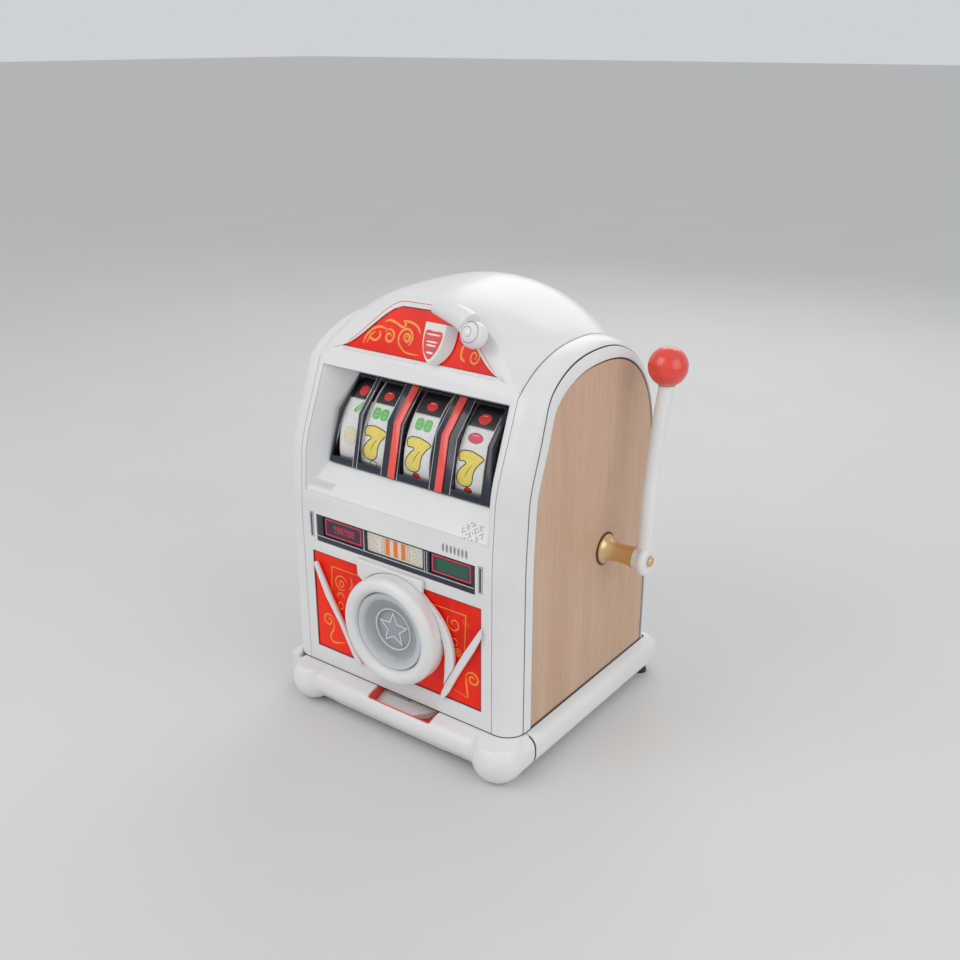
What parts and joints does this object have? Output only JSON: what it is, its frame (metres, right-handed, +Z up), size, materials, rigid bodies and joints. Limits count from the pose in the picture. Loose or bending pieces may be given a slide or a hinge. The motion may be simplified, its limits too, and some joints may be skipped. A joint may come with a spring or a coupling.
{
  "type": "slot machine",
  "caption": "Countertop slot machine with a side pull handle, spinning reels, coin tray, rear door and cash drawer.",
  "frame": {"origin": "middle of the base board's underside, on the cabinet's plane of symmetry, at the level the machine stands on", "axes": "+Z up, -Y towards the player (the reels face -Y), +X towards the pull handle"},
  "size_m": [0.5, 0.4065, 0.6108],
  "materials": {
    "white_enamel": "gloss white enamel over cast metal",
    "side_wood": "light straight-grained wood, satin varnish",
    "red_glass": "red back-painted glass with yellow line ornament",
    "red_plastic": "gloss red-orange moulded plastic",
    "dark_plastic": "navy-black satin plastic",
    "reel_strip": "white printed reel strip on a moulded drum",
    "card": "cream printed card under clear plastic",
    "grey_dish": "grey moulded dish, satin",
    "brass": "polished brass",
    "steel": "plated steel",
    "rubber": "matt black rubber",
    "board": "plain plywood"
  },
  "bodies": {
    "cabinet": {"award_card": "card", "back_panel": "white_enamel", "bottom_board": "board", "cabinet_floor": "board", "coin_chute": "steel", "coin_head": "white_enamel", "coin_tray": "red_plastic", "crescent_trim": "white_enamel", "dish": "grey_dish", "display_housing": "dark_plastic", "display_left": "dark_plastic", "display_right": "dark_plastic", "door_hinge_leaf": "steel", "door_hinge_pin": "steel", "frame_plate_left": "steel", "frame_plate_right": "steel", "front_base": "white_enamel", "front_casting": "white_enamel", "handle_boss": "brass", "left_fender": "white_enamel", "left_rail": "white_enamel", "left_trim": "white_enamel", "left_wood_panel": "side_wood", "lower_glass": "red_glass", "mechanism_shelf": "steel", "payout_tube": "steel", "rear_foot_left": "rubber", "rear_foot_right": "rubber", "rear_rail": "white_enamel", "red_bar_left": "red_plastic", "red_bar_right": "red_plastic", "reel_mask": "dark_plastic", "reel_shaft": "steel", "return_spring": "steel", "right_fender": "white_enamel", "right_rail": "white_enamel", "right_trim": "white_enamel", "right_wood_panel": "side_wood", "ring_bezel": "white_enamel", "roof_shell": "white_enamel", "shield": "white_enamel", "strap_left": "white_enamel", "strap_right": "white_enamel", "tab_bracket": "white_enamel", "top_glass": "red_glass", "window_surround": "white_enamel"},
    "handle": {"handle_arm": "white_enamel", "handle_shaft": "brass", "knob": "red_plastic", "drive_sector": "steel"},
    "kicker": {"kicker_shaft": "steel", "pinion": "brass"},
    "reel_1": {"reel_1": "reel_strip"},
    "reel_2": {"reel_2": "reel_strip"},
    "reel_3": {"reel_3": "reel_strip"},
    "reel_4": {"reel_4": "reel_strip"},
    "payout_flap": {"payout_flap": "steel"},
    "back_door": {"back_door": "white_enamel"},
    "door_lock": {"door_lock": "steel"},
    "cash_drawer": {"cash_drawer": "steel"}
  },
  "joints": [
    {"name": "handle_pull", "type": "hinge", "parent": "cabinet", "child": "handle", "pos_m": [0.257, 0.045, 0.254], "axis": [1, 0, 0], "range_deg": [0, 60], "stiffness_Nm_per_rad": 1.6, "springref_deg": -20.05},
    {"name": "kicker_turn", "type": "hinge", "parent": "cabinet", "child": "kicker", "pos_m": [0, 0.10469, 0.29426], "axis": [1, 0, 0], "range_deg": [-120, 0]},
    {"name": "reel_1_spin", "type": "hinge", "parent": "cabinet", "child": "reel_1", "pos_m": [-0.106, -0.02205, 0.37874], "axis": [1, 0, 0], "continuous": true},
    {"name": "reel_2_spin", "type": "hinge", "parent": "cabinet", "child": "reel_2", "pos_m": [-0.061, -0.02205, 0.37874], "axis": [1, 0, 0], "continuous": true},
    {"name": "reel_3_spin", "type": "hinge", "parent": "cabinet", "child": "reel_3", "pos_m": [0.0095, -0.02205, 0.37874], "axis": [1, 0, 0], "continuous": true},
    {"name": "reel_4_spin", "type": "hinge", "parent": "cabinet", "child": "reel_4", "pos_m": [0.0965, -0.02205, 0.37874], "axis": [1, 0, 0], "continuous": true},
    {"name": "payout_flap_swing", "type": "hinge", "parent": "cabinet", "child": "payout_flap", "pos_m": [-0.001, -0.1655, 0.0535], "axis": [-1, 0, 0], "range_deg": [0, 60]},
    {"name": "back_door_swing", "type": "hinge", "parent": "cabinet", "child": "back_door", "pos_m": [-0.125, 0.1799, 0.25], "axis": [0, 0, 1], "range_deg": [0, 110]},
    {"name": "door_lock_turn", "type": "hinge", "parent": "back_door", "child": "door_lock", "pos_m": [0.108, 0.17, 0.25], "axis": [0, -1, 0], "range_deg": [0, 90]},
    {"name": "cash_drawer_slide", "type": "slide", "parent": "cabinet", "child": "cash_drawer", "axis": [0, 1, 0], "range_m": [0, 0.16]}
  ],
  "couplings": [
    {"joint": "kicker_turn", "follows": "handle_pull", "ratio": -2}
  ]
}
